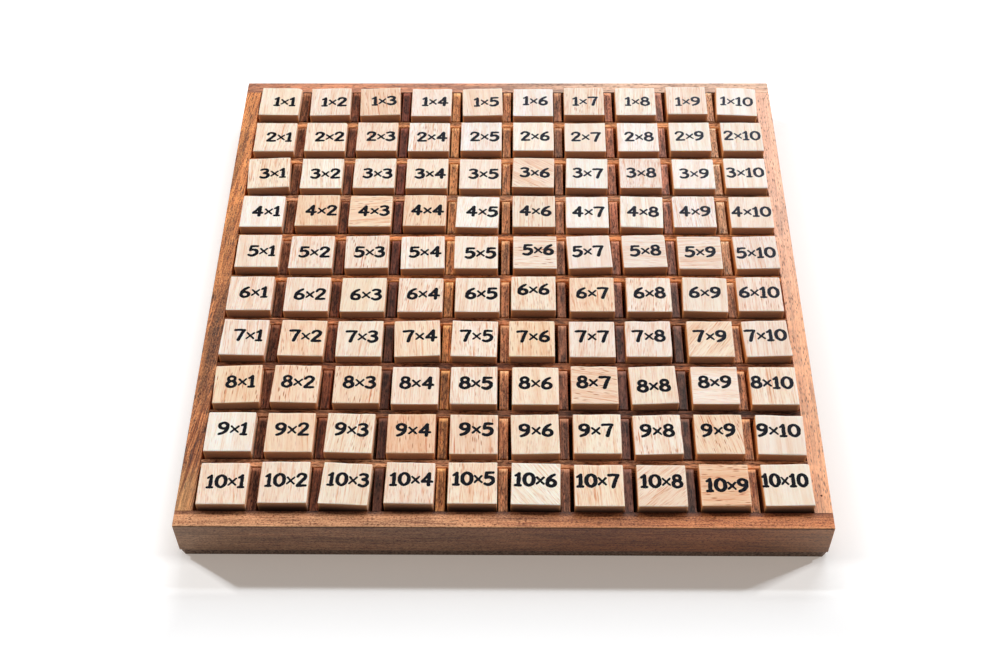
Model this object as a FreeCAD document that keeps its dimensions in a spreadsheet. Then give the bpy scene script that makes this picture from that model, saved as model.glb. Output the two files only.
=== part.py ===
# Hundred board: a hardwood tray with a ten by ten grid of square pockets
# and a loose, square wooden tile standing in each pocket.
# Lengths are millimetres and angles are degrees.
# The origin is the middle of the underside. +X runs right along a row,
# +Y runs to the back and +Z is up.

import FreeCAD, Part
import math
import os

import Sketcher

# Ten pockets to a side make the hundred.
PER_SIDE = 10
STRIPS = PER_SIDE - 1

# Driving sizes, each with what it measures.
SIZES = (
    ("tile_side", 22.7, "side of a tile, seen from above"),
    ("tile_play", 1.95, "how much wider a pocket is than its tile"),
    ("tile_wall_gap", 0.05, "least gap kept between a tile and a pocket wall"),
    ("tile_height", 25.0, "height of a tile"),
    ("tile_ease", 0.35, "bevel on all of a tile's edges"),
    ("strip_thickness", 4.2, "thickness of a divider strip"),
    ("strip_set_down", 0.3, "how far the strips lie below the rails' tops"),
    ("strip_ease", 0.3, "bevel along a strip's top edges"),
    ("lap_clearance", 0.15, "play on each side of a cross lap"),
    ("lap_rim_ease", 0.8, "bevel on the rims of a column strip's notches"),
    ("rail_width", 8.3, "width of a frame rail, seen from above"),
    ("rail_height", 20.7, "height of a frame rail above the base board"),
    ("rail_ease", 0.6, "rounding of the frame's outer edges"),
    ("glue_line", 0.1, "open line where a piece ends against a rail"),
    ("pin_hole_width", 1.0, "diameter of the panel pin's hole"),
    ("pin_hole_depth", 3.0, "depth of the panel pin's hole"),
    ("pin_hole_from_end", 9.4, "pin hole's distance from the rail's front end"),
    ("base_thickness", 4.0, "thickness of the base board"),
    ("base_side_inset", 0.2, "base board's inset from the left and right faces"),
    ("base_end_inset", 0.3, "base board's inset from the front and back faces"),
    ("base_corner_cut", 2.0, "corner taken off the base board"),
)

# Sizes that follow from the driving ones, as expressions on the sheet.
POCKET_SIDE = "(Sizes.tile_side + Sizes.tile_play)"
PITCH = f"({POCKET_SIDE} + Sizes.strip_thickness)"
GRID_SIDE = f"({PER_SIDE} * {POCKET_SIDE} + {STRIPS} * Sizes.strip_thickness)"
BOARD_SIDE = f"({GRID_SIDE} + 2 * Sizes.rail_width)"
RAIL_CENTRE = f"({GRID_SIDE} + Sizes.rail_width) / 2"
SIDE_RAIL_LENGTH = f"({GRID_SIDE} - 2 * Sizes.glue_line)"
STRIP_LENGTH = SIDE_RAIL_LENGTH
STRIP_HEIGHT = "(Sizes.rail_height - Sizes.strip_set_down)"
FIRST_CROSSING = f"(-{STRIPS - 1} / 2 * {PITCH})"
CROSSINGS_SPAN = f"({STRIPS - 1} * {PITCH})"
NOTCH_HALF = "(Sizes.strip_thickness / 2 + Sizes.lap_clearance)"
NOTCH_ROOF = f"({STRIP_HEIGHT} / 2 + Sizes.lap_clearance)"
NOTCH_FLOOR = f"({STRIP_HEIGHT} / 2 - Sizes.lap_clearance)"
BASE_HALF_X = f"({BOARD_SIDE} / 2 - Sizes.base_side_inset)"
BASE_HALF_Y = f"({BOARD_SIDE} / 2 - Sizes.base_end_inset)"
ON_AXIS = "0"

# Tiles that stand askew: (row, column) and the turn, as a share of the most
# that the pocket allows. Plus is anticlockwise, seen from above.
TURNED = {
    (1, 1): -0.2, (1, 2): 0.3, (1, 3): 0.5, (1, 5): 0.4, (1, 10): -0.6,
    (3, 1): 0.7, (3, 6): -0.3, (3, 7): -0.3, (4, 5): -0.3, (4, 8): -0.4,
    (5, 3): 0.3, (5, 4): 0.3, (5, 7): 0.6, (5, 8): 0.3, (5, 10): 0.3,
    (6, 9): -0.4, (7, 1): -0.3, (7, 2): -0.3, (7, 4): 0.5, (7, 5): -0.3,
    (7, 10): 0.5, (8, 1): 0.4, (8, 2): -0.3, (8, 8): 0.5, (9, 3): -0.3,
    (9, 6): 0.3, (9, 8): 0.3, (9, 10): -0.3, (10, 3): -0.6, (10, 4): -0.2,
    (10, 6): -0.2, (10, 10): 0.2,
}

# How the tiles lie in their pockets, by (row, column). A slide is a share of
# the play that the turn leaves: plus is to the right, or to the back. The
# board was knocked, so most of the tiles lie a little to the right and front.
SLID_SIDEWAYS = {
    "to the right wall": (0.95, (
        (1, 1), (1, 2), (1, 5), (1, 8), (1, 9), (1, 10), (2, 1), (2, 8),
        (2, 9), (2, 10), (3, 1), (3, 7), (3, 8), (3, 9), (5, 1), (5, 6),
        (5, 7), (6, 7), (6, 8), (6, 9), (7, 2), (7, 9), (8, 1), (8, 3),
        (8, 6), (8, 9), (9, 6), (9, 7), (9, 8), (9, 10), (10, 1), (10, 6),
        (10, 7), (10, 8), (10, 9), (10, 10),
    )),
    "in the middle": (0.05, (
        (1, 3), (2, 2), (2, 3), (2, 4), (3, 4), (3, 10), (4, 1), (4, 3),
        (4, 4), (4, 7), (4, 8), (5, 2), (5, 3), (5, 8), (5, 9), (6, 1),
        (6, 3), (6, 6), (7, 3), (7, 4), (7, 7), (8, 2), (9, 2), (10, 2),
    )),
    "to the left wall": (-0.85, (
        (4, 5), (4, 9), (5, 5), (6, 10), (7, 5), (7, 6), (7, 8), (9, 3),
        (10, 3),
    )),
    "a little left": (-0.35, ((7, 10), (8, 5), (9, 4))),
}
SLID_LENGTHWAYS = {
    "to the front wall": (-0.9, (
        (1, 4), (1, 5), (1, 6), (5, 4), (6, 3), (6, 4), (6, 5), (7, 3),
        (7, 4), (7, 5), (7, 7), (8, 4), (8, 5), (8, 6), (9, 5), (9, 6),
        (9, 8), (9, 10),
    )),
    "in the middle": (0.05, (
        (1, 1), (1, 7), (1, 8), (2, 3), (2, 5), (2, 6), (2, 9), (2, 10),
        (3, 3), (3, 7), (3, 8), (3, 10), (4, 1), (4, 6), (4, 9), (5, 7),
        (6, 1), (6, 10), (7, 1), (7, 10), (8, 2), (9, 2), (10, 1), (10, 9),
    )),
    "a little back": (0.4, (
        (3, 1), (4, 3), (5, 1), (6, 6), (9, 1), (10, 3), (10, 6), (10, 10),
    )),
    "to the back wall": (0.8, (
        (1, 9), (3, 6), (4, 2), (4, 4), (5, 8), (10, 2), (10, 4), (10, 5),
    )),
}
USUAL_SLIDE = (0.45, -0.45)
SMALL_SLIDE = 0.1


# The document and its sheet of sizes

def make_sheet(doc):
    sheet = doc.addObject("Spreadsheet::Sheet", "Sizes")
    for row, (alias, size, meaning) in enumerate(SIZES, start=1):
        sheet.set(f"A{row}", meaning)
        sheet.set(f"B{row}", str(size))
        sheet.setAlias(f"B{row}", alias)
    doc.recompute()


def value(doc, expression):
    return float(doc.getObject("Sizes").evalExpression(expression))


# Steps that the pieces share

def new_body(doc, label):
    body = doc.addObject("PartDesign::Body", label)
    body.Label = label
    return body


def outline(body, role, name, corners):
    # A closed, straight-sided outline on one of the body's own planes.
    # Each corner is a pair of expressions, so it follows the sheet.
    doc = body.Document
    sketch = body.newObject("Sketcher::SketchObject", name)
    planes = body.Origin.OriginFeatures
    plane = next(item for item in planes if item.Role == role)
    sketch.AttachmentSupport = (plane, [""])
    sketch.MapMode = "FlatFace"
    points = [
        FreeCAD.Vector(value(doc, across), value(doc, along), 0)
        for across, along in corners
    ]
    for start, end in zip(points, points[1:] + points[:1]):
        sketch.addGeometry(Part.LineSegment(start, end), False)
    for index in range(len(corners)):
        following = (index + 1) % len(corners)
        joined = Sketcher.Constraint("Coincident", index, 2, following, 1)
        sketch.addConstraint(joined)
    for index, corner in enumerate(corners):
        for axis, expression in zip((-2, -1), corner):
            place_corner(sketch, index, axis, expression)
    return sketch


def place_corner(sketch, index, axis, expression):
    # Axis -2 is the sketch's upright axis, and axis -1 its level one.
    if expression == ON_AXIS:
        rule = Sketcher.Constraint("PointOnObject", index, 1, axis)
        sketch.addConstraint(rule)
        return
    kind = "DistanceX" if axis == -2 else "DistanceY"
    size = value(sketch.Document, expression)
    rule = Sketcher.Constraint(kind, -1, 1, index, 1, size)
    number = sketch.addConstraint(rule)
    sketch.setExpression(f"Constraints[{number}]", expression)


def pad(body, sketch, length, both_ways=False):
    feature = body.newObject("PartDesign::Pad", f"{sketch.Name}_pad")
    feature.Profile = sketch
    feature.Midplane = both_ways
    feature.setExpression("Length", length)
    sketch.Visibility = False
    body.Document.recompute()
    return feature


def cut_through(body, sketch):
    feature = body.newObject("PartDesign::Pocket", f"{sketch.Name}_cut")
    feature.Profile = sketch
    feature.Type = "ThroughAll"
    feature.Midplane = True
    sketch.Visibility = False
    body.Document.recompute()
    return feature


def repeat_along(body, feature, sketch, span, count):
    # Copies along the sketch's level axis, the first one included.
    pattern = body.newObject("PartDesign::LinearPattern", f"{feature.Name}_row")
    pattern.Originals = [feature]
    pattern.Direction = (sketch, ["H_Axis"])
    pattern.Occurrences = count
    pattern.setExpression("Length", span)
    body.Tip = pattern
    body.Document.recompute()
    return pattern


def work_edges(body, kind, size_name, size, chosen):
    # A Fillet or Chamfer on the edges of the tip that the test picks out.
    base = body.Tip
    names = [
        f"Edge{number}"
        for number, edge in enumerate(base.Shape.Edges, start=1)
        if chosen(edge)
    ]
    feature = body.newObject(f"PartDesign::{kind}", f"{kind.lower()}_edges")
    feature.Base = (base, names)
    feature.setExpression(size_name, size)
    body.Document.recompute()
    return feature


def middle(edge):
    return edge.valueAt((edge.FirstParameter + edge.LastParameter) / 2)


def close(first, second):
    return abs(first - second) < 1e-6


# The frame

def make_rail(doc, label, runs_along_x, length, outer_side):
    # A rail is one plank, drawn as its cross-section and as long both ways
    # from the middle. outer_side is -1 where the outer face lies on the
    # section's minus side. The ends of the rails along X are bare, so their
    # corners are rounded too.
    body = new_body(doc, label)
    role = "YZ_Plane" if runs_along_x else "XZ_Plane"
    half = "Sizes.rail_width / 2"
    section = outline(body, role, f"{label}_section", (
        (f"-{half}", ON_AXIS),
        (half, ON_AXIS),
        (half, "Sizes.rail_height"),
        (f"-{half}", "Sizes.rail_height"),
    ))
    pad(body, section, length, both_ways=True)
    outer = outer_side * value(doc, half)
    reach = value(doc, length) / 2

    def is_rounded(edge):
        spot = middle(edge)
        across, along = (spot.y, spot.x) if runs_along_x else (spot.x, spot.y)
        at_end = close(abs(along), reach)
        if close(across, outer):
            return runs_along_x or not at_end
        return runs_along_x and at_end and close(across, 0) and spot.z > 0

    work_edges(body, "Fillet", "Radius", "Sizes.rail_ease", is_rounded)
    body.setExpression("Placement.Base.z", "Sizes.base_thickness")
    return body


def make_frame(doc):
    # The front and back rails run the full width, and the side rails end
    # against them.
    front = make_rail(doc, "front_rail", True, BOARD_SIDE, -1)
    front.setExpression("Placement.Base.y", f"-{RAIL_CENTRE}")
    back = make_rail(doc, "back_rail", True, BOARD_SIDE, 1)
    back.setExpression("Placement.Base.y", RAIL_CENTRE)
    left = make_rail(doc, "left_rail", False, SIDE_RAIL_LENGTH, -1)
    left.setExpression("Placement.Base.x", f"-{RAIL_CENTRE}")
    right = make_rail(doc, "right_rail", False, SIDE_RAIL_LENGTH, 1)
    right.setExpression("Placement.Base.x", RAIL_CENTRE)
    drill_pin_hole(doc, right)
    return [front, back, left, right]


def drill_pin_hole(doc, rail):
    # One panel pin was driven down through the right rail and left a hole.
    sketch = rail.newObject("Sketcher::SketchObject", "pin_hole")
    planes = rail.Origin.OriginFeatures
    plane = next(item for item in planes if item.Role == "XY_Plane")
    sketch.AttachmentSupport = (plane, [""])
    sketch.MapMode = "FlatFace"
    sketch.setExpression("AttachmentOffset.Base.z", "Sizes.rail_height")
    along = f"(Sizes.pin_hole_from_end - {SIDE_RAIL_LENGTH} / 2)"
    centre = FreeCAD.Vector(0, value(doc, along), 0)
    up = FreeCAD.Vector(0, 0, 1)
    radius = value(doc, "Sizes.pin_hole_width / 2")
    sketch.addGeometry(Part.Circle(centre, up, radius), False)
    sketch.addConstraint(Sketcher.Constraint("PointOnObject", 0, 3, -2))
    rules = (
        (Sketcher.Constraint("DistanceY", -1, 1, 0, 3, centre.y), along),
        (Sketcher.Constraint("Radius", 0, radius), "Sizes.pin_hole_width / 2"),
    )
    for rule, expression in rules:
        number = sketch.addConstraint(rule)
        sketch.setExpression(f"Constraints[{number}]", expression)
    hole = rail.newObject("PartDesign::Pocket", "pin_hole_cut")
    hole.Profile = sketch
    hole.setExpression("Length", "Sizes.pin_hole_depth")
    sketch.Visibility = False
    doc.recompute()


def make_base(doc):
    # The frame and the strips are glued down on one flat board, a little
    # smaller than the frame, with its corners taken off.
    body = new_body(doc, "base_board")
    side, end = BASE_HALF_X, BASE_HALF_Y
    short_side = f"({side} - Sizes.base_corner_cut)"
    short_end = f"({end} - Sizes.base_corner_cut)"
    board = outline(body, "XY_Plane", "base_outline", (
        (short_side, f"-{end}"),
        (side, f"-{short_end}"),
        (side, short_end),
        (short_side, end),
        (f"-{short_side}", end),
        (f"-{side}", short_end),
        (f"-{side}", f"-{short_end}"),
        (f"-{short_side}", f"-{end}"),
    ))
    pad(body, board, "Sizes.base_thickness")
    return body


# The grid of strips, lapped over each other like an egg crate

def make_strip(doc, label, role, notch):
    # The sketch is the strip's long side. The first notch is cut and then
    # repeated at each crossing.
    body = new_body(doc, label)
    half = f"{STRIP_LENGTH} / 2"
    side = outline(body, role, f"{label}_side", (
        (f"-{half}", ON_AXIS),
        (half, ON_AXIS),
        (half, STRIP_HEIGHT),
        (f"-{half}", STRIP_HEIGHT),
    ))
    pad(body, side, "Sizes.strip_thickness", both_ways=True)
    top = value(doc, STRIP_HEIGHT)
    reach = value(doc, half)

    def long_top_edge(edge):
        spot = middle(edge)
        is_end = close(max(abs(spot.x), abs(spot.y)), reach)
        return close(spot.z, top) and not is_end

    work_edges(body, "Chamfer", "Size", "Sizes.strip_ease", long_top_edge)
    first = outline(body, role, f"{label}_notch", notch)
    cut = cut_through(body, first)
    repeat_along(body, cut, first, CROSSINGS_SPAN, STRIPS)
    body.setExpression("Placement.Base.z", "Sizes.base_thickness")
    return body


def make_strips(doc):
    left = f"{FIRST_CROSSING} - {NOTCH_HALF}"
    right = f"{FIRST_CROSSING} + {NOTCH_HALF}"
    # A row strip is notched from below, so its top runs through.
    under = (
        (left, ON_AXIS),
        (right, ON_AXIS),
        (right, NOTCH_ROOF),
        (left, NOTCH_ROOF),
    )
    # A column strip is notched from above, with worn rims.
    rim = "Sizes.lap_rim_ease"
    over = (
        (left, NOTCH_FLOOR),
        (right, NOTCH_FLOOR),
        (right, f"{STRIP_HEIGHT} - {rim}"),
        (f"{right} + {rim}", STRIP_HEIGHT),
        (f"{left} - {rim}", STRIP_HEIGHT),
        (left, f"{STRIP_HEIGHT} - {rim}"),
    )
    strips = []
    for number in range(1, PER_SIDE):
        steps = f"({number} - {PER_SIDE} / 2)"
        row = make_strip(doc, f"row_strip_{number:02d}", "XZ_Plane", under)
        row.setExpression("Placement.Base.y", f"-{steps} * {PITCH}")
        column = make_strip(doc, f"column_strip_{number:02d}", "YZ_Plane", over)
        column.setExpression("Placement.Base.x", f"{steps} * {PITCH}")
        strips += [row, column]
    return strips


# The tiles

def make_tile(doc):
    # One tile, standing on its underside, with all its edges bevelled.
    body = new_body(doc, "tile_pattern")
    half = "Sizes.tile_side / 2"
    square = outline(body, "XY_Plane", "tile_square", (
        (f"-{half}", f"-{half}"),
        (half, f"-{half}"),
        (half, half),
        (f"-{half}", half),
    ))
    pad(body, square, "Sizes.tile_height")
    work_edges(body, "Chamfer", "Size", "Sizes.tile_ease", lambda edge: True)
    return body


def most_turn(side, room):
    # A square of this side fits a square room of that width up to this turn:
    # side * (cos turn + sin turn) = room.
    return math.asin(min(1.0, room / side / math.sqrt(2))) - math.pi / 4


def slide(groups, tile, usual):
    # A tile's slide as a share of its play, with a small part of its own.
    share = next((share for share, tiles in groups.values() if tile in tiles), usual)
    own = SMALL_SLIDE * math.sin(7 * tile[0] + 3 * tile[1])
    return max(-1.0, min(1.0, share + own))


def tile_placement(doc, row, column):
    # Where a tile lies in its row, measured from the row's middle.
    side = value(doc, "Sizes.tile_side")
    room = value(doc, f"{POCKET_SIDE} - 2 * Sizes.tile_wall_gap")
    turn = TURNED.get((row, column), 0.0) * most_turn(side, room)
    width = side * (math.cos(turn) + abs(math.sin(turn)))
    play = (room - width) / 2
    to_right = slide(SLID_SIDEWAYS, (row, column), USUAL_SLIDE[0])
    to_back = slide(SLID_LENGTHWAYS, (row, column), USUAL_SLIDE[1])
    pocket_x = (column - (PER_SIDE + 1) / 2) * value(doc, PITCH)
    spot = FreeCAD.Vector(pocket_x + to_right * play, to_back * play, 0)
    about_z = FreeCAD.Rotation(FreeCAD.Vector(0, 0, 1), math.degrees(turn))
    return FreeCAD.Placement(spot, about_z)


def make_tile_rows(doc, tile):
    # Each row is a group of ten separate tiles.
    rows = []
    for row in range(1, PER_SIDE + 1):
        tiles = []
        for column in range(1, PER_SIDE + 1):
            solid = tile.Shape.copy()
            solid.Placement = tile_placement(doc, row, column)
            tiles.append(solid)
        group = doc.addObject("Part::Feature", f"tile_row_{row:02d}")
        group.Label = f"tile_row_{row:02d}"
        group.Shape = Part.makeCompound(tiles)
        steps = f"({PER_SIDE + 1} / 2 - {row})"
        group.setExpression("Placement.Base.y", f"{steps} * {PITCH}")
        group.setExpression("Placement.Base.z", "Sizes.base_thickness")
        rows.append(group)
    doc.recompute()
    return rows


# Checks and files

def check(doc, pieces):
    for item in doc.Objects:
        if "Invalid" in item.State or "Error" in item.State:
            raise RuntimeError(f"{item.Label} did not compute: {item.State}")
    for piece in pieces:
        if piece.Shape.isNull() or not piece.Shape.isValid():
            raise RuntimeError(f"{piece.Label} has no valid shape")


def write(pieces):
    os.makedirs("parts", exist_ok=True)
    for piece in pieces:
        piece.Shape.exportStep(f"parts/{piece.Label}.step")


def main():
    doc = FreeCAD.newDocument("hundred_board")
    make_sheet(doc)
    pieces = [make_base(doc)]
    pieces += make_frame(doc)
    pieces += make_strips(doc)
    tile = make_tile(doc)
    pieces += make_tile_rows(doc, tile)
    doc.recompute()
    check(doc, pieces + [tile])
    write(pieces)
    for piece in pieces:
        shape = piece.Shape
        box = shape.BoundBox
        print(
            f"{piece.Label}: {len(shape.Solids)} solid(s), {shape.Volume:.1f} mm3, "
            f"x {box.XMin:.2f}..{box.XMax:.2f}, y {box.YMin:.2f}..{box.YMax:.2f}, "
            f"z {box.ZMin:.2f}..{box.ZMax:.2f}"
        )


main()
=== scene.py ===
"""The looks of a hundred board: an oiled hardwood tray, and a hundred loose
rubberwood tiles with a sum printed on each, on a white studio floor."""

import math
import random

import bpy
import numpy as np
from mathutils import Euler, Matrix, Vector


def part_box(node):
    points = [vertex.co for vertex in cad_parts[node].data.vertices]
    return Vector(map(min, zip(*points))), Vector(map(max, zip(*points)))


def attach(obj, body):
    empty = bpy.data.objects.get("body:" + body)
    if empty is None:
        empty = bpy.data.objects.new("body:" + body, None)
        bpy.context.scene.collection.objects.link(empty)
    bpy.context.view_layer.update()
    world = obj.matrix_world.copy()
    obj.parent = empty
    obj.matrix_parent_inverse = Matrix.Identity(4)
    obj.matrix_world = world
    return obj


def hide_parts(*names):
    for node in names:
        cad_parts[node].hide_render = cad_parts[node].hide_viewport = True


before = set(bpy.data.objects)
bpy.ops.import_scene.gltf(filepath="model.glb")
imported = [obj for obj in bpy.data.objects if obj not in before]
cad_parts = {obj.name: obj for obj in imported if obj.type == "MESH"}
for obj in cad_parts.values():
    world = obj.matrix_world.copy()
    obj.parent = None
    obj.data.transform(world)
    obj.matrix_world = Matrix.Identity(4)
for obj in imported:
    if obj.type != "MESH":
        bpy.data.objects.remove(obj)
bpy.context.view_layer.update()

MM = 0.001
PER_SIDE = 10
TILE_ROWS = [f"tile_row_{number:02d}" for number in range(1, PER_SIDE + 1)]
ROW_STRIPS = [f"row_strip_{number:02d}" for number in range(1, PER_SIDE)]
COLUMN_STRIPS = [f"column_strip_{number:02d}" for number in range(1, PER_SIDE)]

# The tiles' places are read back from the frame.
FIRST_STRIP = sum(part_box("column_strip_01"), Vector()) / 2
SECOND_STRIP = sum(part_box("column_strip_02"), Vector()) / 2
PITCH = SECOND_STRIP.x - FIRST_STRIP.x
TILE_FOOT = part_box("tile_row_01")[0].z
TILE_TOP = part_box("tile_row_01")[1].z
RAIL_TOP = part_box("front_rail")[1].z

# Wood colours, as they look in plain light
TILE_TONES = {
    "ivory": "#fdf7ec",
    "cream": "#f9ebdb",
    "wheat": "#f8e5d1",
    "honey": "#f7dec4",
    "tan": "#f1ccab",
}
RUBBERWOOD_PORE = "#b0602e"
RUBBERWOOD_END = "#bd8e6f"
INK = "#111218"
INK_THIN = "#24252d"
# The ink's painted sheen, towards the right back
INK_SHEEN = "#3e404a"

# Tiles whose wood stands out, by row and column
# The ivory tiles gather in the back rows: partly the wood's own tone, partly painted sheen of the
# light behind.
TONES = {
    "ivory": ((1, 6), (1, 8), (1, 10), (2, 4), (5, 4), (2, 5), (2, 6), (2, 8), (2, 9), (2, 10),
              (3, 2), (3, 7), (3, 9), (3, 10), (4, 1), (4, 5), (4, 7), (4, 8),
              (4, 9), (9, 1), (10, 6)),
    "honey": ((1, 3), (4, 2), (4, 3), (4, 4), (6, 7), (7, 2), (7, 6), (8, 1),
              (8, 2), (8, 3), (8, 7), (9, 2), (9, 5), (9, 9)),
    "tan": ((9, 4), (10, 9)),
    "wheat": ((10, 1), (10, 4), (10, 5), (10, 7), (10, 8), (8, 6), (9, 6), (3, 6),
              (1, 5), (2, 3), (7, 9), (7, 4)),
}
# Grain across the tile, or slanting over it, in degrees from front to back
GRAIN_TURNS = {
    (5, 6): 88, (5, 8): 84, (5, 9): 92, (8, 9): 86, (10, 9): 91, (8, 7): 80,
    (4, 3): 95, (3, 6): 58, (10, 8): -48, (10, 6): 38, (7, 9): -35, (9, 9): 14,
}
# How plainly the pores show: 1 is the usual
PLAIN_PORES = {
    (8, 1): 2.6, (8, 2): 3.0, (8, 3): 2.2, (4, 4): 1.8, (9, 4): 2.0, (9, 9): 2.4,
    (5, 3): 2.3, (1, 3): 1.5, (4, 3): 1.7, (7, 2): 1.6, (6, 7): 1.5, (9, 8): 2.0,
    (5, 6): 2.8, (10, 9): 2.6, (9, 5): 2.2, (8, 7): 2.4, (6, 8): 2.0, (2, 4): 1.8,
    (3, 1): 1.5, (9, 3): 1.7, (6, 4): 1.6, (6, 10): 1.6, (4, 6): 1.4, (1, 7): 1.7,
    (7, 5): 1.6, (7, 6): 1.5, (10, 5): 1.4, (1, 10): 0.3, (2, 7): 0.3, (3, 10): 0.3,
    (5, 7): 0.3, (2, 6): 0.4, (3, 9): 0.4, (4, 10): 0.4, (9, 1): 0.5, (6, 3): 0.5,
    (10, 10): 0.2, (9, 10): 0.25, (1, 6): 0.4, (3, 7): 0.4, (2, 9): 0.3, (1, 1): 0.5,
    (5, 1): 0.6, (4, 5): 0.6, (4, 7): 0.4,
}


def colour(code):
    """Linear red, green, blue and alpha of an sRGB hex code."""
    parts = [int(code[start:start + 2], 16) / 255 for start in (1, 3, 5)]
    linear = [
        part / 12.92 if part <= 0.04045 else ((part + 0.055) / 1.055) ** 2.4
        for part in parts
    ]
    return (*linear, 1.0)


def shade(code, factor):
    """A colour made lighter or darker by a factor, its hue kept."""
    parts = colour(code)[:3]
    factor = min(factor, 1.0 / max(parts))
    return (*(part * factor for part in parts), 1.0)


# Node trees

BLACK = (0.0, 0.0, 0.0, 1.0)
WHITE = (1.0, 1.0, 1.0, 1.0)
TO_MM = (1 / MM, 1 / MM, 1 / MM)


def add(tree, kind, inputs=None, stops=None, **settings):
    """Adds a node, with its settings, its inputs as values or as other nodes'
    outputs, and a colour ramp's stops where it has one."""
    node = tree.nodes.new(kind)
    for name, setting in settings.items():
        setattr(node, name, setting)
    for socket, source in (inputs or {}).items():
        if isinstance(source, bpy.types.NodeSocket):
            tree.links.new(source, node.inputs[socket])
        else:
            node.inputs[socket].default_value = source
    if stops:
        elements = node.color_ramp.elements
        while len(elements) < len(stops):
            elements.new(1.0)
        for element, (place, paint) in zip(elements, stops):
            element.position = place
            element.color = paint
    return node


def new_material(name):
    """A material with its shader ready: the material, its tree and shader."""
    material = bpy.data.materials.new(name)
    material.use_nodes = True
    tree = material.node_tree
    return material, tree, tree.nodes["Principled BSDF"]


def set_finish(shader, values):
    """Gives the shader's sockets their values."""
    for socket, value in values.items():
        shader.inputs[socket].default_value = value


def add_bump(tree, shader, height, strength, depth):
    """Roughens the surface by a height, over a depth in millimetres."""
    bump = add(tree, "ShaderNodeBump", {
        "Strength": strength, "Distance": depth * MM, "Height": height,
    }).outputs["Normal"]
    tree.links.new(bump, shader.inputs["Normal"])


def own_place(tree):
    """The place on the board, in metres."""
    return add(tree, "ShaderNodeTexCoord").outputs["Object"]


def in_mm(tree, spot):
    """A place on the board, in millimetres."""
    return add(tree, "ShaderNodeVectorMath", {0: spot, 1: TO_MM}, operation="MULTIPLY").outputs[0]


def axes(tree, vector):
    """A vector's parts to the right, to the back and up."""
    return tuple(add(tree, "ShaderNodeSeparateXYZ", {"Vector": vector}).outputs)


def facing(tree):
    """How much the face looks to the right, to the back and up."""
    return axes(tree, add(tree, "ShaderNodeNewGeometry").outputs["True Normal"])


def stored(tree, name, output="Fac"):
    """What a tile's mesh keeps for each vertex."""
    return add(tree, "ShaderNodeAttribute", attribute_name=name).outputs[output]


def calc(tree, operation, *values):
    """One step of arithmetic on grey values."""
    return add(tree, "ShaderNodeMath", dict(enumerate(values)), operation=operation).outputs[0]


def scaled(tree, source, factor):
    """A grey value times a factor, kept from 0 to 1."""
    return add(tree, "ShaderNodeMath", {0: source, 1: factor},
               operation="MULTIPLY", use_clamp=True).outputs[0]


def ramp(tree, source, low, high, top=1.0, easing="LINEAR"):
    """A grey value that runs from 0 at low to top at high."""
    return add(tree, "ShaderNodeMapRange", {
        "Value": source, "From Min": low, "From Max": high, "To Max": top,
    }, interpolation_type=easing).outputs["Result"]


def mask(tree, source, low, high, falling=False):
    """Black up to low and white from high on, or the other way round."""
    below, above = (WHITE, BLACK) if falling else (BLACK, WHITE)
    return add(tree, "ShaderNodeValToRGB", {"Fac": source},
               stops=((low, below), (high, above))).outputs["Color"]


def blend(tree, mode, share, below, above):
    """A colour mix: above laid over below by a share."""
    mix = add(tree, "ShaderNodeMix", {0: share, 6: below, 7: above},
              data_type="RGBA", blend_type=mode)
    return mix.outputs[2]


def drawn_out(tree, place, across, along):
    """A place in millimetres, counted in steps across and along the grain."""
    return add(tree, "ShaderNodeVectorMath", {
        0: place, 1: (1 / across, 1 / along, 1 / across),
    }, operation="MULTIPLY").outputs[0]


def fibre_noise(tree, place, across, along, detail=3.0, rough=0.55, warp=0.0):
    """Noise drawn out along the grain. across and along are the sizes of its
    patches in millimetres."""
    return add(tree, "ShaderNodeTexNoise", {
        "Vector": drawn_out(tree, place, across, along), "Scale": 1.0, "Detail": detail,
        "Roughness": rough, "Distortion": warp,
    }, noise_dimensions="3D").outputs["Fac"]


def dashes(tree, place, spacing, length, width, share):
    """Open pores cut lengthwise: short dark dashes along the grain.
    One dash lies in each cell of spacing by length, in millimetres; width is
    the dash's share of the cell, and share is how many cells hold one."""
    cells = add(tree, "ShaderNodeTexVoronoi", {
        "Vector": drawn_out(tree, place, spacing, length), "Scale": 1.0, "Randomness": 0.9,
    }, voronoi_dimensions="3D", feature="F1")
    dash = mask(tree, cells.outputs["Distance"], width * 0.45, width, falling=True)
    picked = add(tree, "ShaderNodeSeparateColor", {"Color": cells.outputs["Color"]}).outputs[0]
    return calc(tree, "MULTIPLY", dash, calc(tree, "LESS_THAN", picked, share))


# Materials

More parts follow.
